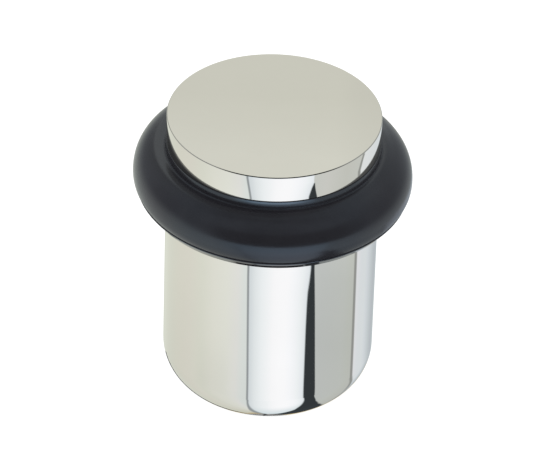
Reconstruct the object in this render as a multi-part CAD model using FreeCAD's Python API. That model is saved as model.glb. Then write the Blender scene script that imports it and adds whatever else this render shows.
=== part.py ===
import FreeCAD, Part
import math
import os

# Floor-fixed cylinder door stop with a screw-on cap and a loose rubber buffer ring.
# Millimetres, +Z up. The origin is the centre of the base on the floor plane:
# the post stands on z = 0, and the floor fixings hang below it.
# Suffixes: _r radius, _z height above the floor, _t thickness, _h height of a part.

V = FreeCAD.Vector

# ---- shared dimensions ---------------------------------------------------------
body_r = 15.0            # post and cap radius
total_h = 44.5           # floor to the top of the cap
cap_h = 4.0              # visible rim height of the cap
cap_z = total_h - cap_h  # underside of the cap, top of the ring groove
shoulder_z = 31.4        # shoulder that carries the ring
neck_r = 10.5            # neck inside the ring

washer_t = 1.0           # space for the nylon washer under the cap
neck_top_z = cap_z - washer_t

thread_r = 8.0           # cap thread M16 x 1.5
thread_pitch = 1.5
thread_depth = 0.86
thread_core_r = thread_r - thread_depth
thread_crest_w = thread_pitch / 8.0
thread_z = 28.4          # start of the helix, the same for both threads
thread_turns = 9
flank_slope = math.tan(math.radians(30.0))

web_top_z = 10.0         # seat of the fixing screw and its washer
screw_washer_t = 1.2
seat_z = web_top_z + screw_washer_t

pad_recess_t = 1.3       # recess for the pad under the post

pin_x = 6.3              # anti-twist pin, offset from the centre
pin_held_r = 1.5         # thicker end, pressed into the post
pin_in = 7.0             # height of the held end above the floor plane


# ---- helpers -------------------------------------------------------------------
def revolve(*items):
    """Solid of revolution about Z from a loop of (r, z) points, closed by a straight line.

    After the first point, an item may also be ("arc", mid, end) or ("spline", points).
    """
    def at(point):
        return V(point[0], 0, point[1])

    edges = []
    start = here = items[0]
    for item in items[1:] + (start,):
        if item[0] == "arc":
            middle, end = item[1:]
            curve = Part.Arc(at(here), at(middle), at(end))
        elif item[0] == "spline":
            end = item[1][-1]
            curve = Part.BSplineCurve()
            curve.interpolate([at(point) for point in [here] + item[1]])
        else:
            end = item
            curve = Part.LineSegment(at(here), at(end))
        edges.append(curve.toShape())
        here = end
    return Part.Face(Part.Wire(edges)).revolve(V(0, 0, 0), V(0, 0, 1), 360)


def arc_about(centre_r, centre_z, radius, start_angle, end_angle):
    """Arc item for revolve, about a centre; angles in degrees."""
    def on_arc(degrees):
        angle = math.radians(degrees)
        return (centre_r + radius * math.cos(angle), centre_z + radius * math.sin(angle))

    return ("arc", on_arc((start_angle + end_angle) / 2.0), on_arc(end_angle))


def helix_ridge(pitch, start_z, turns, root_r, crest_r, root_w, crest_w):
    """Right-hand helical ridge of trapezium section: equal single turns, stacked and joined."""
    spine = Part.Wire(Part.makeHelix(pitch, pitch, root_r).Edges)
    section = Part.makePolygon([
        V(root_r, 0, -root_w / 2), V(crest_r, 0, -crest_w / 2),
        V(crest_r, 0, crest_w / 2), V(root_r, 0, root_w / 2), V(root_r, 0, -root_w / 2)])
    turn = spine.makePipeShell([section], True, True)
    # The sweep may come out inside out, which would spoil the booleans.
    if turn.Volume < 0:
        turn = turn.reversed()
    stack = []
    for k in range(turns):
        copy = turn.copy()
        copy.translate(V(0, 0, start_z + k * pitch))
        stack.append(copy)
    return stack[0].multiFuse(stack[1:])


def cap_thread(root_r, crest_r, crest_w):
    """Helical ridge of the cap thread, with 30 degree flanks."""
    root_w = crest_w + 2 * (crest_r - root_r) * flank_slope
    return helix_ridge(thread_pitch, thread_z, thread_turns, root_r, crest_r, root_w, crest_w)


def washer(inner_r, outer_r, bottom_z, top_z, bottom_chamfer, top_chamfer):
    """Flat washer with chamfered outer edges."""
    return revolve(
        (inner_r, bottom_z),
        (outer_r - bottom_chamfer, bottom_z),
        (outer_r, bottom_z + bottom_chamfer),
        (outer_r, top_z - top_chamfer),
        (outer_r - top_chamfer, top_z),
        (inner_r, top_z))


# ---- post ----------------------------------------------------------------------
def make_base_body():
    base_round = 5.6         # fully rounded bottom edge
    shoulder_round = 0.3
    neck_foot = 0.25         # sloped corner where the neck meets the shoulder
    neck_chamfer = 0.4
    pad_recess_r = 8.7
    web_hole_r = 2.75
    web_hole_chamfer = 0.3
    bore_r = 7.35            # bore below the thread
    bore_foot = 0.4          # sloped corner at the bottom of the bore
    bore_top_z = 28.2
    relief_r = thread_r + 0.3
    relief_z = (29.0, 30.4)  # bottom and top of the relief below the thread
    thread_foot_z = 31.0     # lower end of the straight threaded wall
    thread_gap = 0.11        # radial clearance
    crest_extra = 0.1        # extra width at the groove's outer radius
    minor_r = thread_core_r + thread_gap
    mouth_r = thread_r + 0.35

    body = revolve(
        (web_hole_r, pad_recess_t),
        (pad_recess_r, pad_recess_t),
        (pad_recess_r, 0.0),
        (body_r - base_round, 0.0),
        arc_about(body_r - base_round, base_round, base_round, -90, 0),
        (body_r, shoulder_z - shoulder_round),
        arc_about(body_r - shoulder_round, shoulder_z - shoulder_round, shoulder_round, 0, 90),
        (neck_r + neck_foot, shoulder_z),
        (neck_r, shoulder_z + neck_foot),
        (neck_r, neck_top_z - neck_chamfer),
        (neck_r - neck_chamfer, neck_top_z),
        (mouth_r, neck_top_z),
        (minor_r, neck_top_z - (mouth_r - minor_r)),
        (minor_r, thread_foot_z),
        (relief_r, relief_z[1]),
        (relief_r, relief_z[0]),
        (bore_r, bore_top_z),
        (bore_r, web_top_z + bore_foot),
        (bore_r - bore_foot, web_top_z),
        (web_hole_r + web_hole_chamfer, web_top_z),
        (web_hole_r, web_top_z - web_hole_chamfer))

    # The female thread starts inside the relief and runs out above the neck.
    groove = cap_thread(thread_core_r + 0.05, thread_r + thread_gap,
                        thread_crest_w + crest_extra)
    zone_inner_r, zone_outer_r = 5.0, 9.3
    zone_bottom_z, zone_top_z = 29.7, neck_top_z + 0.5
    groove_zone = revolve(
        (zone_inner_r, zone_bottom_z), (zone_outer_r, zone_bottom_z),
        (zone_outer_r, zone_top_z), (zone_inner_r, zone_top_z))
    body = body.cut(groove.common(groove_zone))

    pin_end_gap = 0.2
    pin_hole = Part.makeCylinder(pin_held_r, pin_in - pad_recess_t + pin_end_gap,
                                 V(pin_x, 0, pad_recess_t), V(0, 0, 1))
    return body.cut(pin_hole)


# ---- cap -----------------------------------------------------------------------
def make_cap():
    top_round = 0.13         # broken top edge
    under_chamfer = 0.06     # broken lower edge
    spigot_z = cap_z - 8.0   # lower end of the threaded spigot
    spigot_chamfer = 0.5
    undercut_r = thread_core_r - 0.35
    undercut_flare = 0.25    # height of the cone from the undercut to the underside

    cap = revolve(
        (0.0, spigot_z),
        (thread_core_r - spigot_chamfer, spigot_z),
        (thread_core_r, spigot_z + spigot_chamfer),
        (thread_core_r, cap_z - 2.2),
        (undercut_r, cap_z - 1.9),
        (undercut_r, cap_z - undercut_flare),
        (thread_core_r - 0.10, cap_z),
        (body_r - under_chamfer, cap_z),
        (body_r, cap_z + under_chamfer),
        (body_r, total_h - top_round),
        arc_about(body_r - top_round, total_h - top_round, top_round, 0, 90),
        (0.0, total_h))

    # The ridge is sunk into the core so that they fuse, and tapers off at both ends.
    ridge = cap_thread(thread_core_r - 0.15, thread_r, thread_crest_w)
    zone_inner_r, zone_outer_r = 4.0, thread_r + 0.2
    zone_bottom_z, zone_top_z = spigot_z + 0.55, cap_z - 2.25
    ridge_zone = revolve(
        (zone_inner_r, zone_bottom_z), (thread_core_r, zone_bottom_z),
        (zone_outer_r, spigot_z + 1.6), (zone_outer_r, cap_z - 3.2),
        (thread_core_r, zone_top_z), (zone_inner_r, zone_top_z))
    return cap.fuse(ridge.common(ridge_zone))


def make_cap_washer():
    face_gap = 0.02          # gap above and below the washer
    return washer(inner_r=8.15, outer_r=9.8,
                  bottom_z=neck_top_z + face_gap, top_z=cap_z - face_gap,
                  bottom_chamfer=0.15, top_chamfer=0.15)


# ---- buffer ring ---------------------------------------------------------------
def make_buffer_ring():
    end_gap = 0.05           # gap above and below the ring
    inner_r = neck_r + 0.05  # radial running gap round the neck
    bottom_z = shoulder_z + end_gap
    top_z = cap_z - end_gap
    inner_chamfer = 0.4
    outer_r = 19.6
    widest_z = 34.64
    lip_r, lip_z = 19.10, 32.70         # fine moulding lip round the lower edge
    crease_r, crease_z = 15.20, 39.22   # crease between the upright collar and the bulge
    collar_r = 15.06                    # upper part of the collar

    # The bulge is a quarter superellipse, stopped short of the crease.
    bulge_centre_r = 14.6
    bulge_h = 4.62
    bulge_steps = 13
    power = 2 / 2.25
    bulge = []
    for k in range(1, bulge_steps):
        angle = math.radians(90.0 * k / bulge_steps)
        r = bulge_centre_r + (outer_r - bulge_centre_r) * math.cos(angle) ** power
        if r > crease_r + 0.6:
            bulge.append((r, widest_z + bulge_h * math.sin(angle) ** power))

    return revolve(
        (inner_r, bottom_z + inner_chamfer),
        (inner_r + inner_chamfer, bottom_z),
        (17.6, bottom_z),
        (18.30, bottom_z + 0.20),
        (18.62, lip_z - 0.62),
        ("arc", (lip_r - 0.07, lip_z - 0.27), (lip_r, lip_z)),
        (lip_r - 0.04, lip_z + 0.20),
        ("arc", (19.466, 33.736), (outer_r, widest_z)),
        ("spline", bulge + [(crease_r, crease_z)]),
        (collar_r + 0.02, top_z - 0.20),
        ("arc", (collar_r - 0.04, top_z - 0.06), (collar_r - 0.18, top_z)),
        (inner_r + inner_chamfer, top_z),
        (inner_r, top_z - inner_chamfer))


# ---- fixing screw, 5 x 50 wood screw -------------------------------------------
def recess_outline(half_length, half_width, z):
    """Closed rectangle about the axis, long along X."""
    corners = [(-1, -1), (1, -1), (1, 1), (-1, 1), (-1, -1)]
    return Part.makePolygon([V(x * half_length, y * half_width, z) for x, y in corners])


def make_fixing_screw():
    major_r = 2.5
    core_r = 1.6
    shank_r = 1.85
    fillet = 0.25            # sloped corner under the head
    head_r = 4.75
    head_edge = 0.2
    dome_h = 1.15
    tip_z = seat_z - 50.0
    shank_z = seat_z - 12.5  # lower end of the plain shank
    top_z = seat_z + 3.1

    blank = revolve(
        (0.0, tip_z),
        (0.12, tip_z + 0.15),
        (core_r, tip_z + 6.0),
        (core_r, shank_z - 0.4),
        (shank_r, shank_z),
        (shank_r, seat_z - fillet),
        (shank_r + fillet, seat_z),
        (head_r - head_edge, seat_z),
        (head_r, seat_z + head_edge),
        (head_r, top_z - dome_h),
        ("arc", (head_r * 0.62, top_z - 0.33), (0.0, top_z)))

    # The blade grows from the tip and tapers off against the shank.
    blade = helix_ridge(pitch=2.7, start_z=tip_z - 0.5, turns=15,
                        root_r=core_r - 0.2, crest_r=major_r, root_w=1.15, crest_w=0.18)
    zone_r = major_r + 0.1
    zone_top_z = shank_z + 0.2
    blade_zone = revolve(
        (0.0, tip_z + 0.3), (0.35, tip_z + 0.4), (zone_r, tip_z + 7.0),
        (zone_r, shank_z - 1.2), (shank_r, zone_top_z), (0.0, zone_top_z))
    screw = blank.fuse(blade.common(blade_zone))

    # cross recess with tapered wings
    for angle in (0, 90):
        floor = recess_outline(half_length=1.15, half_width=0.42, z=top_z - 2.3)
        mouth = recess_outline(half_length=2.35, half_width=0.55, z=top_z + 0.1)
        wing = Part.makeLoft([floor, mouth], True, True)
        wing.rotate(V(0, 0, 0), V(0, 0, 1), angle)
        screw = screw.cut(wing)
    return screw


def make_screw_washer():
    return washer(inner_r=2.65, outer_r=6.2, bottom_z=web_top_z, top_z=seat_z,
                  bottom_chamfer=0.15, top_chamfer=0.25)


# ---- floor plug, 8 x 40 --------------------------------------------------------
def make_wall_plug():
    plug_r = 4.0
    bore_r = 1.75
    end_z = -40.0
    collar_z = -6.0          # lower end of the plain collar
    barb_count = 9
    barb_pitch = 3.1
    barb_depth = 0.35

    profile = [(bore_r + 0.6, 0.0), (plug_r, 0.0), (plug_r, collar_z)]
    for k in range(barb_count):
        z = collar_z - k * barb_pitch
        profile += [(plug_r - barb_depth, z - 0.3), (plug_r, z - 2.9), (plug_r, z - barb_pitch)]
    profile += [
        (plug_r, end_z + 2.0), (plug_r - 1.0, end_z), (0.0, end_z),
        (0.0, end_z + 0.6), (bore_r * 0.7, end_z + 2.0),
        (bore_r, end_z + 8.0), (bore_r, -1.2)]

    slit_w, slit_span, slit_h = 0.9, 20.0, 26.0
    slit = Part.makeBox(slit_w, slit_span, slit_h, V(-slit_w / 2, -slit_span / 2, end_z + 3.0))
    return revolve(*profile).cut(slit)


# ---- anti-twist pin ------------------------------------------------------------
def make_anti_twist_pin():
    nose_r = 1.25
    nose_z = -6.0            # lower end of the free nose
    nose_chamfer = 0.35
    step_chamfer = 0.1
    top_chamfer = 0.25
    pin = revolve(
        (0.0, nose_z),
        (nose_r - nose_chamfer, nose_z),
        (nose_r, nose_z + nose_chamfer),
        (nose_r, 0.0),
        (pin_held_r - step_chamfer, 0.0),
        (pin_held_r, step_chamfer),
        (pin_held_r, pin_in - top_chamfer),
        (pin_held_r - top_chamfer, pin_in),
        (0.0, pin_in))
    pin.translate(V(pin_x, 0, 0))
    return pin


# ---- base pad ------------------------------------------------------------------
def make_base_pad():
    inner_r, outer_r = 3.4, 8.6
    pad_t = 1.25
    pin_clearance = 0.12
    pad = revolve((inner_r, 0.0), (outer_r, 0.0), (outer_r, pad_t), (inner_r, pad_t))
    # The hole cutter reaches past both faces of the pad.
    return pad.cut(Part.makeCylinder(pin_held_r + pin_clearance, 3.0,
                                     V(pin_x, 0, -0.5), V(0, 0, 1)))


# ---- write ---------------------------------------------------------------------
pieces = {
    "base_body": make_base_body,
    "cap": make_cap,
    "cap_washer": make_cap_washer,
    "buffer_ring": make_buffer_ring,
    "fixing_screw": make_fixing_screw,
    "screw_washer": make_screw_washer,
    "wall_plug": make_wall_plug,
    "anti_twist_pin": make_anti_twist_pin,
    "base_pad": make_base_pad,
}

os.makedirs("parts", exist_ok=True)
for name, make_piece in pieces.items():
    # Booleans return compounds and may leave slivers, so only the largest solid is written.
    solid = max(make_piece().Solids, key=lambda candidate: candidate.Volume)
    solid.exportStep("parts/" + name + ".step")
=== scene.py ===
import math

import bpy
from mathutils import Matrix, Vector


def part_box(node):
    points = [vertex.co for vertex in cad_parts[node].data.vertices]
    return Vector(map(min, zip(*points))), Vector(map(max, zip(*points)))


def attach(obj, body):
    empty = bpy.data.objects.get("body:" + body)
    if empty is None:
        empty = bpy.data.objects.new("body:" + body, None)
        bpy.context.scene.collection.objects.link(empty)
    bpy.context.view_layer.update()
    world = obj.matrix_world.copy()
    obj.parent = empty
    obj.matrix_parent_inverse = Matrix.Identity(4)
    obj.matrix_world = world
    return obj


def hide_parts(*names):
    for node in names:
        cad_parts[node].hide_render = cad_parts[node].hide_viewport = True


# Floor door stop: polished nickel post and cap, loose black rubber buffer ring.
# Metres, the frame's own axes: +Z up, origin at the centre of the base on the floor.

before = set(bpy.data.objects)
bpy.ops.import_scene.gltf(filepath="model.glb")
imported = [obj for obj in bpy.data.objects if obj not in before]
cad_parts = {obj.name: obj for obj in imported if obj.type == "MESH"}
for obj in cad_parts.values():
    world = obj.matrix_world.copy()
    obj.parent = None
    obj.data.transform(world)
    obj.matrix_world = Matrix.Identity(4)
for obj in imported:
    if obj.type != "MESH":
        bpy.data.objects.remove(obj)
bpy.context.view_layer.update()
MM = 0.001


# ---------------------------------------------------------------- shader arithmetic
class Graph:
    """Writes shader arithmetic as nodes. Scalars and colours are plain sockets or numbers."""

    def __init__(self, tree):
        self.tree = tree
        tree.nodes.clear()

    def node(self, kind, **settings):
        n = self.tree.nodes.new(kind)
        for k, v in settings.items():
            setattr(n, k, v)
        return n

    def put(self, sock, value):
        if isinstance(value, bpy.types.NodeSocket):
            self.tree.links.new(value, sock)
        elif isinstance(value, (tuple, list)) and len(value) == 3 and sock.type == "RGBA":
            sock.default_value = (*value, 1.0)
        else:
            sock.default_value = value

    def m(self, op, a, b=0.0, c=0.0, clamp=False):
        n = self.node("ShaderNodeMath", operation=op, use_clamp=clamp)
        self.put(n.inputs[0], a)
        self.put(n.inputs[1], b)
        if op in ("MULTIPLY_ADD", "WRAP", "COMPARE", "SMOOTH_MIN", "SMOOTH_MAX"):
            self.put(n.inputs[2], c)
        return n.outputs[0]

    def add(self, a, b): return self.m("ADD", a, b)
    def sub(self, a, b): return self.m("SUBTRACT", a, b)
    def mul(self, a, b): return self.m("MULTIPLY", a, b)
    def div(self, a, b): return self.m("DIVIDE", a, b)
    def mx(self, a, b): return self.m("MAXIMUM", a, b)
    def mn(self, a, b): return self.m("MINIMUM", a, b)
    def ab(self, a): return self.m("ABSOLUTE", a)

    def ramp01(self, x, lo, hi, smooth=True, out0=0.0, out1=1.0):
        """out0 below lo, out1 above hi; lo may be the larger one."""
        n = self.node("ShaderNodeMapRange", interpolation_type="SMOOTHSTEP" if smooth else "LINEAR", clamp=True)
        if lo > hi:
            lo, hi, out0, out1 = hi, lo, out1, out0
        self.put(n.inputs["Value"], x)
        n.inputs["From Min"].default_value = lo
        n.inputs["From Max"].default_value = hi
        n.inputs["To Min"].default_value = out0
        n.inputs["To Max"].default_value = out1
        return n.outputs["Result"]

    def pl(self, x, pts):
        """Piecewise-linear function through the points (x, y)."""
        total = None
        for (x0, y0), (x1, y1) in zip(pts, pts[1:]):
            if y0 == y1:
                continue
            part = self.ramp01(x, x0, x1, smooth=False, out0=0.0, out1=y1 - y0)
            total = part if total is None else self.add(total, part)
        return self.add(total, pts[0][1]) if total is not None else pts[0][1]

    def mix(self, fac, a, b):
        n = self.node("ShaderNodeMix", data_type="RGBA", clamp_factor=True)
        self.put(n.inputs[0], fac)
        self.put(n.inputs[6], a)
        self.put(n.inputs[7], b)
        return n.outputs[2]

    def fmix(self, fac, a, b):
        n = self.node("ShaderNodeMix", data_type="FLOAT", clamp_factor=True)
        self.put(n.inputs[0], fac)
        self.put(n.inputs[2], a)
        self.put(n.inputs[3], b)
        return n.outputs[0]

    def scale(self, col, k):
        """Colour times a scalar or a colour."""
        n = self.node("ShaderNodeVectorMath", operation="MULTIPLY")
        self.put(n.inputs[0], col)
        if isinstance(k, bpy.types.NodeSocket) or isinstance(k, (tuple, list)):
            self.put(n.inputs[1], k)
        else:
            n.inputs[1].default_value = (k, k, k)
        return n.outputs[0]

    def stops(self, x, pts):
        """Colour ramp with linear steps through (x, (r, g, b)) in linear light."""
        lo, hi = pts[0][0], pts[-1][0]
        n = self.node("ShaderNodeValToRGB")
        r = n.color_ramp
        r.interpolation = "LINEAR"
        while len(r.elements) > 1:
            r.elements.remove(r.elements[-1])
        first = True
        for p, c in pts:
            q = (p - lo) / (hi - lo)
            if first:
                e = r.elements[0]
                e.position = q
                first = False
            else:
                e = r.elements.new(q)
            e.color = (*c, 1.0)
        self.put(n.inputs[0], self.ramp01(x, lo, hi, smooth=False))
        return n.outputs[0]

    def xyz(self, vec):
        n = self.node("ShaderNodeSeparateXYZ")
        self.put(n.inputs[0], vec)
        return n.outputs[0], n.outputs[1], n.outputs[2]

    def vec(self, x, y, z):
        n = self.node("ShaderNodeCombineXYZ")
        for i, v in enumerate((x, y, z)):
            self.put(n.inputs[i], v)
        return n.outputs[0]

    def noise(self, vec, scale, detail=2.0, rough=0.5, dims="3D"):
        n = self.node("ShaderNodeTexNoise", noise_dimensions=dims)
        self.put(n.inputs["Vector"], vec)
        n.inputs["Scale"].default_value = scale
        n.inputs["Detail"].default_value = detail
        n.inputs["Roughness"].default_value = rough
        return n.outputs["Fac"]


def lin(r, g, b):
    """8-bit display colour to linear light."""
    out = []
    for v in (r, g, b):
        v = v / 255.0
        out.append(v / 12.92 if v <= 0.04045 else ((v + 0.055) / 1.055) ** 2.4)
    return tuple(out)


NICKEL = (0.66, 0.612, 0.535)      # reflectance of the warm polished nickel, facing
EL = math.radians(36.54)           # camera elevation


def seen(alpha, rgb):
    """Studio brightness that a nickel wall facing half way to azimuth alpha shows as colour rgb."""
    c = max(0.0, math.cos(EL) * math.cos(math.radians(alpha) / 2.0))
    k = (1.0 - c) ** 5
    return tuple(v / (f + (1.0 - f) * k) for v, f in zip(lin(*rgb), NICKEL))


# ---------------------------------------------------------------- studio
def build_world():
    """White sheet in front, warm card on the left, grey card on the right, dark gap between, and a pale table edge."""
    world = bpy.data.worlds.new("studio")
    bpy.context.scene.world = world
    world.use_nodes = True
    g = Graph(world.node_tree)
    coord = g.node("ShaderNodeTexCoord").outputs["Generated"]
    nrm = g.node("ShaderNodeVectorMath", operation="NORMALIZE")
    g.put(nrm.inputs[0], coord)
    dx, dy, dz = g.xyz(nrm.outputs[0])
    deg = 180.0 / math.pi
    alpha = g.mul(g.m("ARCTAN2", dx, g.mul(dy, -1.0)), deg)
    elev = g.mul(g.m("ARCSINE", dz), deg)
    k = g.div(1.0, g.mx(g.mul(dz, -1.0), 0.02))
    px, py = g.mul(dx, k), g.mul(dy, k)
    outer = g.ramp01(elev, -39.6, -38.6)

    # seams of the cards: inner form on the table plane, outer form as azimuth against elevation
    l1_in = g.m("MULTIPLY_ADD", g.add(py, 0.041), 0.2876, -0.099)
    r_in = g.m("MULTIPLY_ADD", g.sub(py, 0.028), -0.678, 0.220)
    r3_in = g.mx(g.m("MULTIPLY_ADD", g.add(py, 0.166), -0.725, 0.593),
                 g.mx(g.m("MULTIPLY_ADD", g.sub(py, 0.185), -0.556, 0.398),
                      g.m("MULTIPLY_ADD", g.sub(py, 0.605), -0.407, 0.227)))
    l1_out = g.pl(elev, [(-39.2, -19.9), (-38.45, -20.4), (-37.09, -23.0), (-35.95, -22.5),
                         (-34.0, -23.9), (-32.3, -25.2), (-31.0, -26.1)])
    bl_out = g.pl(elev, [(-39.3, 43.8), (-38.9, 42.9), (-38.46, 41.9), (-37.7, 41.9), (-37.42, 42.2), (-37.27, 42.6),
                         (-37.12, 44.3), (-36.98, 45.4), (-36.6, 45.4), (-36.2, 39.7), (-35.6, 39.8),
                         (-34.65, 41.1), (-33.7, 42.4), (-32.8, 44.2), (-32.3, 45.9)])
    br_out = g.pl(elev, [(-39.3, 53.9), (-38.9, 54.8), (-38.46, 55.4), (-37.86, 52.9), (-37.42, 51.2), (-37.12, 49.8),
                         (-36.97, 49.0), (-35.95, 48.5), (-34.9, 46.9), (-33.84, 45.6), (-32.8, 44.7),
                         (-32.3, 43.4)])
    l4_out = g.pl(elev, [(-39.3, 107.9), (-38.9, 107.3), (-38.6, 107.5), (-38.3, 108.2), (-37.9, 108.2), (-36.6, 106.6),
                         (-34.6, 104.9), (-33.4, 107.8), (-31.9, 113.1), (-30.8, 121.7),
                         (-30.6, 137.3), (-30.4, 152.3), (-30.2, 175.0), (-30.0, 190.0)])
    DEG_P = 0.0222    # one degree of azimuth at the wall, on the table plane
    s1 = g.fmix(outer, g.sub(px, l1_in), g.mul(g.sub(alpha, l1_out), DEG_P))
    sl = g.fmix(outer, g.sub(px, r_in), g.mul(g.sub(alpha, bl_out), DEG_P))
    sr = g.fmix(outer, g.sub(px, r3_in), g.mul(g.sub(alpha, br_out), DEG_P))
    l4_in = g.m("MULTIPLY_ADD", g.sub(px, 1.195), 0.381, g.sub(py, 0.369))
    s4 = g.fmix(outer, g.mn(l4_in, g.sub(px, 0.2)), g.mul(g.sub(alpha, l4_out), DEG_P))

    # card colours
    warm = [(-180, (212, 214, 202)), (-156, (214, 216, 203)), (-134, (207, 208, 195)), (-118, (208, 207, 194)),
            (-97, (210, 208, 196)), (-78, (211, 212, 199)), (-62, (217, 217, 206)), (-47, (219, 220, 210)),
            (-34, (219, 219, 214)), (-27, (214, 219, 215)), (-20, (213, 218, 214))]
    warm_c = g.stops(alpha, [(a, seen(a, c)) for a, c in warm])
    warm_k = g.pl(elev, [(-60, 0.97), (-38.6, 0.965), (-36.9, 1.03), (-31.0, 1.0)])
    warm_c = g.scale(warm_c, warm_k)
    dip = g.mul(g.mul(g.ramp01(alpha, -92.0, -72.0), g.ramp01(alpha, -36.0, -50.0)),
                g.pl(elev, [(-38.9, 0.025), (-38.35, 0.05), (-37.85, 0.0)]))
    warm_c = g.scale(warm_c, g.sub(1.0, dip))

    w_in = g.div(g.sub(px, l1_in), g.mx(g.sub(r_in, l1_in), 0.02))
    w_out = g.div(g.sub(alpha, l1_out), g.mx(g.sub(bl_out, l1_out), 5.0))
    w = g.fmix(outer, w_in, w_out)
    sheet = [(0.0, (208, 214, 216)), (0.05, (211, 217, 219)), (0.116, (222, 227, 228)), (0.225, (233, 237, 238)),
             (0.333, (240, 242, 243)), (0.426, (246, 246, 247)), (0.535, (248, 248, 249)), (0.643, (248, 248, 249)),
             (0.736, (245, 246, 248)), (0.829, (240, 242, 244)), (0.891, (235, 239, 240)), (0.953, (228, 232, 235)),
             (1.0, (220, 226, 228))]
    sheet_c = g.stops(w, [(p, seen(p * 64 - 21, c)) for p, c in sheet])
    near = g.mul(g.ramp01(py, -0.55, 0.18), g.sub(1.0, outer))
    sheet_c = g.mix(g.mul(near, 0.85), sheet_c, seen(0, (206, 216, 217)))

    grey = [(50, (186, 189, 186)), (60, (184, 187, 184)), (90, (184, 187, 182)), (100, (183, 186, 179)),
            (110, (182, 184, 178)), (140, (182, 184, 178)), (180, (182, 184, 178))]
    grey_c = g.stops(alpha, [(a, seen(a, c)) for a, c in grey])
    grey_c = g.scale(grey_c, g.pl(elev, [(-38.3, 1.0), (-37.9, 0.985), (-37.1, 1.03), (-36.8, 1.08)]))
    grey_hi = [(45, (196, 198, 192)), (60, (198, 198, 192)), (72, (194, 195, 188)), (84, (191, 192, 184)), (102, (192, 194, 187)),
               (113, (191, 193, 186)), (134, (188, 188, 180)), (143, (180, 184, 179)), (180, (200, 199, 187))]
    grey_hi_c = g.stops(alpha, [(a, seen(a, c)) for a, c in grey_hi])
    grey_c = g.mix(g.ramp01(elev, -36.8, -35.9), grey_c, grey_hi_c)

    blue = [(100, (218, 219, 221)), (112, (218, 219, 221)), (118, (213, 217, 219)), (128, (212, 217, 218)),
            (133, (208, 213, 216)), (146, (190, 197, 199)), (155, (181, 186, 190)), (170, (184, 192, 194)),
            (180, (188, 195, 196))]
    blue_c = g.stops(alpha, [(a, seen(a, c)) for a, c in blue])
    blue_hi_c = g.stops(alpha, [(a, seen(a, c)) for a, c in [(100, (222, 224, 222)), (120, (218, 221, 221)),
                                                            (150, (212, 217, 219)), (180, (214, 220, 221))]])
    blue_c = g.mix(g.ramp01(elev, -36.7, -36.0), blue_c, blue_hi_c)

    dark = seen(48, (50, 54, 56))
    line = seen(0, (128, 133, 135))
    EDGE = 0.022

    def side(s, width=EDGE):
        return g.ramp01(s, -width, width)

    def stripe(s, half, soft):
        return g.ramp01(g.ab(s), half + soft, half)

    low = g.mix(side(s1), warm_c, sheet_c)
    low = g.mix(side(sl), low, dark)
    # far edge of the sheet, and the dark slot and tan board behind it
    far = g.mul(g.ramp01(py, 0.225, 0.255), g.mul(side(s1, 0.03), g.sub(1.0, outer)))
    low = g.mix(far, low, dark)
    low = g.mix(g.mul(side(sr), g.ramp01(sr, 0.0, 0.03)), low, grey_c)
    low = g.mix(g.ramp01(s4, -0.012, 0.085), low, blue_c)
    l4_line = g.mul(stripe(g.sub(s4, 0.006), 0.022, 0.055), g.ramp01(sr, 0.02, 0.08))
    low = g.mix(g.mul(l4_line, 0.80), low, seen(106, (128, 129, 125)))
    l1_line = g.mul(stripe(s1, 0.008, 0.034), g.mul(g.ramp01(py, 0.26, 0.20), g.ramp01(elev, -14.0, -28.0)))
    low = g.mix(g.mul(l1_line, 0.85), low, line)
    tan_in = g.mul(g.ramp01(py, 0.42, 0.56), g.mul(g.ramp01(px, -0.09, -0.05), g.ramp01(sl, 0.02, -0.06)))
    tan_mid = g.mul(g.ramp01(py, 0.14, 0.26), g.mul(g.ramp01(px, -0.10, -0.06), g.ramp01(s1, 0.01, -0.02)))
    low = g.mix(g.mul(g.mx(tan_in, tan_mid), g.sub(1.0, outer)), low, seen(160, (204, 186, 140)))

    # above the table: dim room in front with the camera's dark corner, bright back wall
    back = g.m("POWER", g.mul(g.sub(1.0, g.m("COSINE", g.mul(alpha, 1.0 / deg))), 0.5), 0.9)
    room = g.m("MULTIPLY_ADD", back, 0.78, 0.16)
    room = g.fmix(g.ramp01(elev, 50.0, 82.0), room, 0.24)
    corner = g.mul(g.mul(g.ramp01(alpha, -58.0, -28.0), g.ramp01(alpha, 86.0, 52.0)),
                   g.mul(g.ramp01(elev, -12.0, -8.0), g.ramp01(elev, 46.0, 30.0)))
    room = g.mul(room, g.sub(1.0, g.mul(corner, 0.82)))
    room_c = g.scale(g.mix(back, (1.0, 1.05, 1.16), (1.0, 1.07, 1.07)), room)
    flank = g.mul(g.ramp01(g.ab(alpha), 35.0, 95.0), g.ramp01(g.ab(alpha), 172.0, 150.0))
    room_c = g.mix(flank, room_c, g.scale(room_c, (0.56, 0.58, 0.61)))
    left = g.mul(g.mul(g.ramp01(alpha, -120.0, -148.0), g.ramp01(g.ab(alpha), 170.0, 160.0)), g.ramp01(elev, -10.0, 10.0))
    room_c = g.mix(left, room_c, g.scale(room_c, (0.80, 0.79, 0.77)))
    # the upper half of the white sheet is lit by the window
    cool = g.mul(g.ramp01(g.ab(g.sub(alpha, 4.0)), 52.0, 30.0), g.mul(g.ramp01(elev, -31.5, -27.0), g.ramp01(elev, 5.0, -5.0)))
    low = g.mix(cool, low, g.scale(low, (0.95, 1.03, 1.06)))
    # the sheet's upper edge is crisp in front and soft at the sides
    crisp = g.ramp01(g.ab(g.sub(alpha, 12.0)), 35.0, 75.0)
    up = g.fmix(crisp, g.ramp01(elev, -11.0, -8.5), g.fmix(g.ramp01(alpha, -20.0, -80.0), g.ramp01(elev, -24.0, 4.0), g.ramp01(elev, -20.0, 14.0)))
    glossy = g.mix(up, low, room_c)

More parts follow.
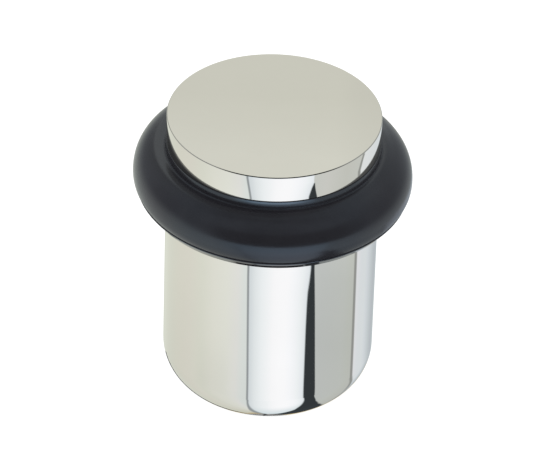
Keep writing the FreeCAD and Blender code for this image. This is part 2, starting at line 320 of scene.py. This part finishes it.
    path = g.node("ShaderNodeLightPath")
    soft = g.mix(g.ramp01(dz, -0.3, 0.6), (0.80, 0.80, 0.80), (1.0, 1.0, 1.0))
    lit = g.mix(path.outputs["Is Glossy Ray"], soft, glossy)
    final = g.mix(path.outputs["Is Camera Ray"], lit, (1.0, 1.0, 1.0))
    bg = g.node("ShaderNodeBackground")
    g.put(bg.inputs["Color"], final)
    bg.inputs["Strength"].default_value = 1.0
    out = g.node("ShaderNodeOutputWorld")
    g.tree.links.new(bg.outputs[0], out.inputs["Surface"])
    world.cycles.sampling_method = "NONE"


# ---------------------------------------------------------------- materials
def material(name):
    mat = bpy.data.materials.new(name)
    mat.use_nodes = True
    g = Graph(mat.node_tree)
    bsdf = g.node("ShaderNodeBsdfPrincipled")
    out = g.node("ShaderNodeOutputMaterial")
    g.tree.links.new(bsdf.outputs[0], out.inputs["Surface"])
    return mat, g, bsdf


def object_xyz(g):
    return g.node("ShaderNodeTexCoord").outputs["Object"]


def bump(g, height, strength, distance):
    n = g.node("ShaderNodeBump")
    n.inputs["Strength"].default_value = strength
    n.inputs["Distance"].default_value = distance
    g.put(n.inputs["Height"], height)
    return n


def nickel(name, cap):
    """Warm polished nickel outside, lathe-turned inside."""
    mat, g, b = material(name)
    p = object_xyz(g)
    x, y, z = g.xyz(p)
    rad = g.m("SQRT", g.add(g.mul(x, x), g.mul(y, y)))
    # turned faces: neck, bore, thread, web and underside
    if cap:
        turned = g.mx(g.ramp01(z, 0.04052, 0.04050, smooth=False), 0.0)
    else:
        turned = g.mul(g.ramp01(rad, 0.01492, 0.01485, smooth=False), 1.0)
        turned = g.mul(turned, g.mx(g.ramp01(z, 0.03108, 0.03112, smooth=False), g.ramp01(rad, 0.0094, 0.0093, smooth=False)))
    cloud = g.noise(p, 120.0, 3.0, 0.55)
    fine = g.noise(p, 900.0, 2.0, 0.6)
    film = g.add(g.mul(g.sub(cloud, 0.5), 0.035), g.mul(g.sub(fine, 0.5), 0.012))
    base = g.scale(NICKEL, g.add(1.0, film))
    # painted reflection: the flat top's colour is dimmed towards its far side and its right edge, and warmed slightly
    # towards the back, standing in for the slightly dimmer part of the room it reflects there
    if cap:
        # the flat top shows a slightly dimmer part of the room towards its far side
        lid = g.ramp01(z, 0.04435, 0.04445, smooth=False)
        top_reflection_fade = g.pl(y, [(-0.0145, 1.008), (-0.0101, 1.003), (-0.0072, 0.987), (-0.0042, 0.969), (-0.0013, 0.954),
                        (0.0017, 0.943), (0.0046, 0.928), (0.0120, 0.922)])
        top_reflection_fade = g.mul(top_reflection_fade, g.pl(x, [(0.0085, 1.0), (0.0120, 0.965), (0.0150, 0.955)]))
        warm = g.pl(y, [(-0.009, 0.0), (0.004, 1.0)])
        base = g.mix(lid, base, g.mix(warm, g.scale(base, top_reflection_fade), g.scale(g.scale(base, top_reflection_fade), (1.0, 0.998, 0.985))))
    if cap:
        ng = g.node("ShaderNodeNewGeometry")
        tx, ty, tz = g.xyz(ng.outputs["Normal"])
        # painted dark reflection: the front of the top edge's rounding is coloured near-black, standing in for the
        # reflection of the dark horizon in front
        edge_painted_dark_reflection = g.mul(g.mul(g.ramp01(tz, 0.02, 0.20), g.ramp01(tz, 0.985, 0.90)), g.ramp01(z, 0.04430, 0.04437))
        edge_painted_dark_reflection = g.mul(edge_painted_dark_reflection, g.mul(g.ramp01(g.ab(g.sub(x, 0.0012)), 0.0095, 0.0055), g.ramp01(y, -0.004, -0.010)))
        base = g.mix(g.mul(edge_painted_dark_reflection, 0.97), base, (0.03, 0.028, 0.024))
    base = g.mix(turned, base, (0.58, 0.55, 0.50))
    b.inputs["Metallic"].default_value = 1.0
    g.put(b.inputs["Base Color"], base)
    # lathe marks on turned faces: fine rings about the axis
    rings = g.noise(g.vec(g.mul(rad, 9000.0), g.mul(z, 9000.0), 0.0), 1.0, 2.0, 0.7)
    rough = g.fmix(turned, g.add(0.018, g.mul(g.sub(cloud, 0.5), 0.012)), g.m("MULTIPLY_ADD", rings, 0.16, 0.20))
    g.put(b.inputs["Roughness"], rough)
    geo = g.node("ShaderNodeNewGeometry")
    nx, ny, nz = g.xyz(geo.outputs["Normal"])
    if cap:
        # polishing rolls the rim's wall over a little towards its top edge
        wall = g.mul(g.ramp01(g.ab(nz), 0.2, 0.05), g.ramp01(z, 0.0405, 0.0406, smooth=False))
        roll = g.mul(wall, g.ramp01(z, 0.0406, 0.04415, smooth=False, out0=0.0, out1=math.tan(math.radians(2.5))))
        # and leaves a slight dish on the flat top
        flat = g.ramp01(nz, 0.9, 0.98)
        dish = g.mul(flat, -0.25)
        tilt = g.vec(g.add(nx, g.mul(g.mul(x, dish), 0.35)), g.add(ny, g.mul(g.mul(y, dish), 0.35)), g.add(nz, roll))
        nn = g.node("ShaderNodeVectorMath", operation="NORMALIZE")
        g.put(nn.inputs[0], tilt)
        normal = nn.outputs[0]
    else:
        normal = geo.outputs["Normal"]
    wave = g.add(g.mul(g.noise(p, 60.0, 1.0, 0.4), 1.0), g.mul(turned, g.mul(rings, 6.0)))
    bn = bump(g, wave, 0.25, 0.00002)
    g.put(bn.inputs["Normal"], normal)
    g.put(b.inputs["Normal"], bn.outputs[0])
    return mat


def rubber(name):
    """Moulded black rubber: deep charcoal with blotchy tone, satin surface and moulding grain; its gloss strength and
    gloss tint carry painted highlights, painted shade and a painted reflection tint.
    """
    mat, g, b = material(name)
    p = object_xyz(g)
    grain = g.noise(p, 2600.0, 3.0, 0.6)
    blotch = g.noise(p, 160.0, 3.0, 0.55)
    x, y, z = g.xyz(p)
    base = g.mix(g.ramp01(blotch, 0.3, 0.75), (0.0128, 0.0123, 0.0150), (0.0160, 0.0155, 0.0186))
    g.put(b.inputs["Base Color"], base)
    b.inputs["IOR"].default_value = 1.6
    rad = g.m("SQRT", g.add(g.mul(x, x), g.mul(y, y)))
    # the collar under the cap gets a painted highlight in front (its gloss strength raised there), the lip below the
    # bulge is glossy, the bulge is satin
    collar = g.mul(g.ramp01(rad, 0.01560, 0.01535), g.ramp01(z, 0.04000, 0.04022))
    front = g.mul(g.ramp01(g.ab(x), 0.0065, 0.0020), g.ramp01(y, 0.0, -0.004))
    lip = g.mul(g.ramp01(g.add(z, g.mul(x, 0.015)), 0.03294, 0.03288), g.ramp01(rad, 0.0175, 0.0180))
    groove_painted_shade = g.mul(g.ramp01(rad, 0.0185, 0.0187), g.ramp01(g.ab(g.sub(g.add(z, g.mul(x, 0.015)), 0.03297)), 0.00009, 0.00005))
    # painted shade: the lip is glossy at the sides but dulled across the front, fully towards its bottom edge
    lip_gloss_and_painted_shade = g.fmix(g.ramp01(g.ab(x), 0.0062, 0.0045), 0.85, g.ramp01(z, 0.03225, 0.03270, out0=0.0, out1=0.30))
    # painted shade: gloss lowered on the lower bulge and towards the right side
    skin_painted_shade = g.mul(g.ramp01(z, 0.03300, 0.03500, out0=0.18, out1=1.0), g.ramp01(x, 0.0125, 0.0185, out0=1.0, out1=0.72))
    gloss_and_painted_light = g.mul(skin_painted_shade, 0.35)
    # painted highlight: the collar's gloss strength is raised to full across the front
    gloss_and_painted_light = g.fmix(collar, gloss_and_painted_light, g.fmix(front, 0.32, 1.0))
    gloss_and_painted_light = g.fmix(lip, gloss_and_painted_light, lip_gloss_and_painted_shade)
    # painted shade: the gloss is mostly removed along the groove above the lip
    gloss_and_painted_light = g.fmix(g.mul(groove_painted_shade, 0.6), gloss_and_painted_light, 0.02)
    # painted reflection tint: the gloss is tinted blue in the middle band around x = 0 and near neutral towards the
    # sides
    g.put(b.inputs["Specular Tint"], g.mix(g.ramp01(g.ab(x), 0.0165, 0.0100), (0.92, 0.94, 0.98), (0.76, 0.90, 1.0)))
    g.put(b.inputs["Specular IOR Level"], gloss_and_painted_light)
    rough = g.add(g.m("MULTIPLY_ADD", blotch, 0.05, 0.165), g.mul(grain, 0.02))
    rough = g.fmix(g.mx(collar, lip), rough, 0.10)
    g.put(b.inputs["Roughness"], rough)
    bn = bump(g, g.add(g.mul(grain, 0.6), g.mul(blotch, 1.5)), 0.22, 0.00003)
    g.put(b.inputs["Normal"], bn.outputs[0])
    return mat


def plastic(name, colour_a, colour_b, rough, sss=0.0, scale=500.0):
    mat, g, b = material(name)
    p = object_xyz(g)
    flow = g.noise(p, scale, 3.0, 0.6)
    grain = g.noise(p, scale * 6.0, 2.0, 0.6)
    g.put(b.inputs["Base Color"], g.mix(g.ramp01(flow, 0.3, 0.7), colour_a, colour_b))
    g.put(b.inputs["Roughness"], g.m("MULTIPLY_ADD", grain, 0.18, rough))
    if sss:
        b.inputs["Subsurface Weight"].default_value = sss
        b.inputs["Subsurface Radius"].default_value = (0.8, 0.7, 0.5)
        b.inputs["Subsurface Scale"].default_value = 0.001
    bn = bump(g, g.add(grain, g.mul(flow, 0.5)), 0.35, 0.00004)
    g.put(b.inputs["Normal"], bn.outputs[0])
    return mat


def steel(name, tint_a, tint_b, rough, stretch):
    """Zinc-plated or ground steel, with drawing marks along or about the axis."""
    mat, g, b = material(name)
    p = object_xyz(g)
    x, y, z = g.xyz(p)
    cloud = g.noise(p, 420.0, 3.0, 0.6)
    marks = g.noise(g.vec(g.mul(x, stretch[0]), g.mul(y, stretch[1]), g.mul(z, stretch[2])), 1.0, 3.0, 0.7)
    b.inputs["Metallic"].default_value = 1.0
    g.put(b.inputs["Base Color"], g.mix(g.ramp01(cloud, 0.3, 0.7), tint_a, tint_b))
    g.put(b.inputs["Roughness"], g.m("MULTIPLY_ADD", marks, 0.16, rough))
    bn = bump(g, g.add(marks, cloud), 0.3, 0.00002)
    g.put(b.inputs["Normal"], bn.outputs[0])
    return mat


# ---------------------------------------------------------------- buffer ring
def ring_profile():
    """Closed section of the buffer ring in mm, from the bore's lower corner round the outside."""
    pts = []
    lo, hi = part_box("buffer_ring")
    bot, top = lo.z / MM, hi.z / MM
    inner = 10.55
    outer = hi.x / MM
    pts += [(inner, bot + 0.45), (inner + 0.12, bot + 0.16), (inner + 0.42, bot + 0.02)]
    for r in (11.5, 12.5, 13.5, 14.5, 15.3):
        pts.append((r, bot))
    # under side, then the lip's face leaning in under the bulge
    pts += [(16.6, bot), (17.5, bot), (17.92, bot + 0.015), (18.06, bot + 0.05), (18.14, bot + 0.11), (18.20, bot + 0.19)]
    for i in range(1, 7):
        t = i / 6.0
        pts.append((18.20 + 0.82 * t, bot + 0.19 + 1.03 * t))
    # rounded rim of the lip, then the fine crease above it
    pts += [(19.08, bot + 1.31), (19.10, bot + 1.37), (19.09, bot + 1.42), (19.05, bot + 1.47), (19.02, bot + 1.51)]
    # lower bulge up to the widest line: a quarter arc
    c0 = (19.07, bot + 1.58)
    mid_z = 34.64
    h0 = mid_z - c0[1]
    w0 = outer - c0[0]
    big = (w0 * w0 + h0 * h0) / (2.0 * w0)
    a0 = math.asin(h0 / big)
    n = 14
    for i in range(n + 1):
        t = a0 * (1.0 - i / n)
        pts.append((outer - big * (1.0 - math.cos(t)), mid_z - big * math.sin(t)))
    # upper bulge: superellipse
    nexp, a, h = 2.25, outer - 14.6, 4.62
    m = 48
    for i in range(1, m):
        t = math.radians(90.0 * i / m)
        r = 14.6 + a * math.cos(t) ** (2 / nexp)
        zz = mid_z + h * math.sin(t) ** (2 / nexp)
        if r < 15.75:
            break
        pts.append((r, zz))
    # soft crease and the upright collar under the cap's edge
    pts += [(15.52, 39.205), (15.38, 39.215), (15.29, 39.23), (15.23, 39.26), (15.19, 39.31), (15.17, 39.38)]
    pts += [(15.160, 39.50), (15.150, 39.70), (15.140, 39.86), (15.130, 39.96), (15.108, 40.10), (15.083, 40.26)]
    pts += [(15.062, 40.40), (15.052, 40.43), (15.03, 40.445), (14.95, top - 0.002)]
    for r in (14.8, 14.0, 13.0, 12.0, 11.4):
        pts.append((r, top))
    pts += [(inner + 0.42, top - 0.02), (inner + 0.12, top - 0.16), (inner, top - 0.45)]
    for i in range(1, 8):
        pts.append((inner, top - 0.45 + (bot - top + 0.90) * i / 8))
    return pts


def lathe(name, profile, segments):
    verts, faces = [], []
    k = len(profile)
    for s in range(segments):
        a = 2 * math.pi * s / segments
        ca, sa = math.cos(a), math.sin(a)
        for r, z in profile:
            verts.append((r * MM * ca, r * MM * sa, z * MM))
    for s in range(segments):
        t = (s + 1) % segments
        for i in range(k):
            j = (i + 1) % k
            faces.append((s * k + i, t * k + i, t * k + j, s * k + j))
    mesh = bpy.data.meshes.new(name)
    mesh.from_pydata(verts, [], faces)
    mesh.update()
    mesh.shade_smooth()
    obj = bpy.data.objects.new(name, mesh)
    bpy.context.scene.collection.objects.link(obj)
    return obj


def askew(obj, slope, r0, r1):
    """The loose ring's soft outer body hangs a touch lower on one side; its bore stays square to the neck."""
    for v in obj.data.vertices:
        k = min(1.0, max(0.0, (math.hypot(v.co.x, v.co.y) - r0) / (r1 - r0)))
        v.co.z += slope * v.co.x * k * k * (3.0 - 2.0 * k)
    obj.data.update()


# ---------------------------------------------------------------- assemble
build_world()

MATS = {
    "base_body": nickel("polished_nickel_post", False),
    "cap": nickel("polished_nickel_cap", True),
    "cap_washer": plastic("natural_nylon", (0.70, 0.67, 0.58), (0.78, 0.76, 0.68), 0.36, sss=0.3, scale=300.0),
    "fixing_screw": steel("zinc_steel_screw", (0.56, 0.58, 0.60), (0.66, 0.66, 0.62), 0.20, (900.0, 900.0, 4000.0)),
    "screw_washer": steel("zinc_steel_washer", (0.58, 0.60, 0.62), (0.68, 0.68, 0.64), 0.22, (3000.0, 600.0, 600.0)),
    "wall_plug": plastic("grey_nylon", (0.28, 0.29, 0.30), (0.34, 0.35, 0.36), 0.38, scale=400.0),
    "anti_twist_pin": steel("ground_steel_pin", (0.56, 0.55, 0.53), (0.62, 0.61, 0.59), 0.16, (600.0, 600.0, 6000.0)),
    "base_pad": plastic("pad_rubber", (0.030, 0.030, 0.032), (0.050, 0.050, 0.052), 0.62, scale=900.0),
}
for node, mat in MATS.items():
    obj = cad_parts[node]
    obj.data.materials.clear()
    obj.data.materials.append(mat)

ring = lathe("buffer_ring_moulded", ring_profile(), 360)
askew(ring, -0.015, 0.0154, 0.0170)
ring.data.materials.append(rubber("black_rubber"))
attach(ring, "ring")
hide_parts("buffer_ring")

# ---------------------------------------------------------------- floor
mesh = bpy.data.meshes.new("floor")
S = 3.0
mesh.from_pydata([(-S, -S, 0), (S, -S, 0), (S, S, 0), (-S, S, 0)], [], [(0, 1, 2, 3)])
floor = bpy.data.objects.new("floor", mesh)
bpy.context.scene.collection.objects.link(floor)
floor.location.z = -0.00002
mat = bpy.data.materials.new("pale_floor")
mat.use_nodes = True
g = Graph(mat.node_tree)
diff = g.node("ShaderNodeBsdfDiffuse")
p = object_xyz(g)
speck = g.noise(p, 400.0, 2.0, 0.5)
g.put(diff.inputs["Color"], g.mix(speck, (0.22, 0.22, 0.22), (0.24, 0.24, 0.24)))
glow = g.node("ShaderNodeEmission")
glow.inputs["Color"].default_value = (1.0, 1.0, 1.0, 1.0)
glow.inputs["Strength"].default_value = 0.90
lit_floor = g.node("ShaderNodeAddShader")
g.tree.links.new(diff.outputs[0], lit_floor.inputs[0])
g.tree.links.new(glow.outputs[0], lit_floor.inputs[1])
trans = g.node("ShaderNodeBsdfTransparent")
geo = g.node("ShaderNodeNewGeometry")
mixs = g.node("ShaderNodeMixShader")
g.put(mixs.inputs[0], geo.outputs["Backfacing"])
g.tree.links.new(lit_floor.outputs[0], mixs.inputs[1])
g.tree.links.new(trans.outputs[0], mixs.inputs[2])
out = g.node("ShaderNodeOutputMaterial")
g.tree.links.new(mixs.outputs[0], out.inputs["Surface"])
mesh.materials.append(mat)
floor.visible_glossy = False


# ---------------------------------------------------------------- lights
def area(name, loc, size, power, target=(0, 0, 0.02)):
    data = bpy.data.lights.new(name, "AREA")
    data.shape = "SQUARE"
    data.size = size
    data.energy = power
    obj = bpy.data.objects.new(name, data)
    obj.location = loc
    d = Vector(target) - Vector(loc)
    obj.rotation_mode = "QUATERNION"
    obj.rotation_quaternion = d.to_track_quat("-Z", "Y")
    bpy.context.scene.collection.objects.link(obj)
    obj.visible_glossy = False
    obj.visible_camera = False
    return obj


area("soft_key", (-0.35, -0.25, 0.75), 0.8, 3.2)
area("soft_fill", (0.40, 0.35, 0.70), 0.8, 1.6)

# ---------------------------------------------------------------- camera
roll, foc, u0, v0 = math.radians(1.88), 4630.6, 266.553, 366.642
W, H, DIST = 550.0, 464.0, 0.6693
ce, se, cr, sr = math.cos(EL), math.sin(EL), math.cos(roll), math.sin(roll)
fwd = Vector((0, ce, -se))
right = Vector((1, 0, 0))
down = fwd.cross(right)
r0 = right * cr - down * sr
r1 = right * sr + down * cr
t = ((u0 - W / 2) / foc * DIST, (v0 - H / 2) / foc * DIST, DIST)
loc = -(r0 * t[0] + r1 * t[1] + fwd * t[2])
cam_data = bpy.data.cameras.new("camera")
cam_data.sensor_width = 36.0
cam_data.sensor_fit = "HORIZONTAL"
cam_data.lens = foc / W * 36.0
cam_data.clip_start = 0.01
cam_data.clip_end = 20.0
cam = bpy.data.objects.new("camera", cam_data)
rot = Matrix(((r0.x, -r1.x, -fwd.x), (r0.y, -r1.y, -fwd.y), (r0.z, -r1.z, -fwd.z)))
cam.matrix_world = Matrix.Translation(loc) @ rot.to_4x4()
bpy.context.scene.collection.objects.link(cam)
bpy.context.scene.camera = cam

bpy.context.scene.view_settings.view_transform = "Standard"
bpy.context.scene.view_settings.look = "None"
bpy.context.scene.view_settings.exposure = 0.0
bpy.context.scene.view_settings.gamma = 1.0
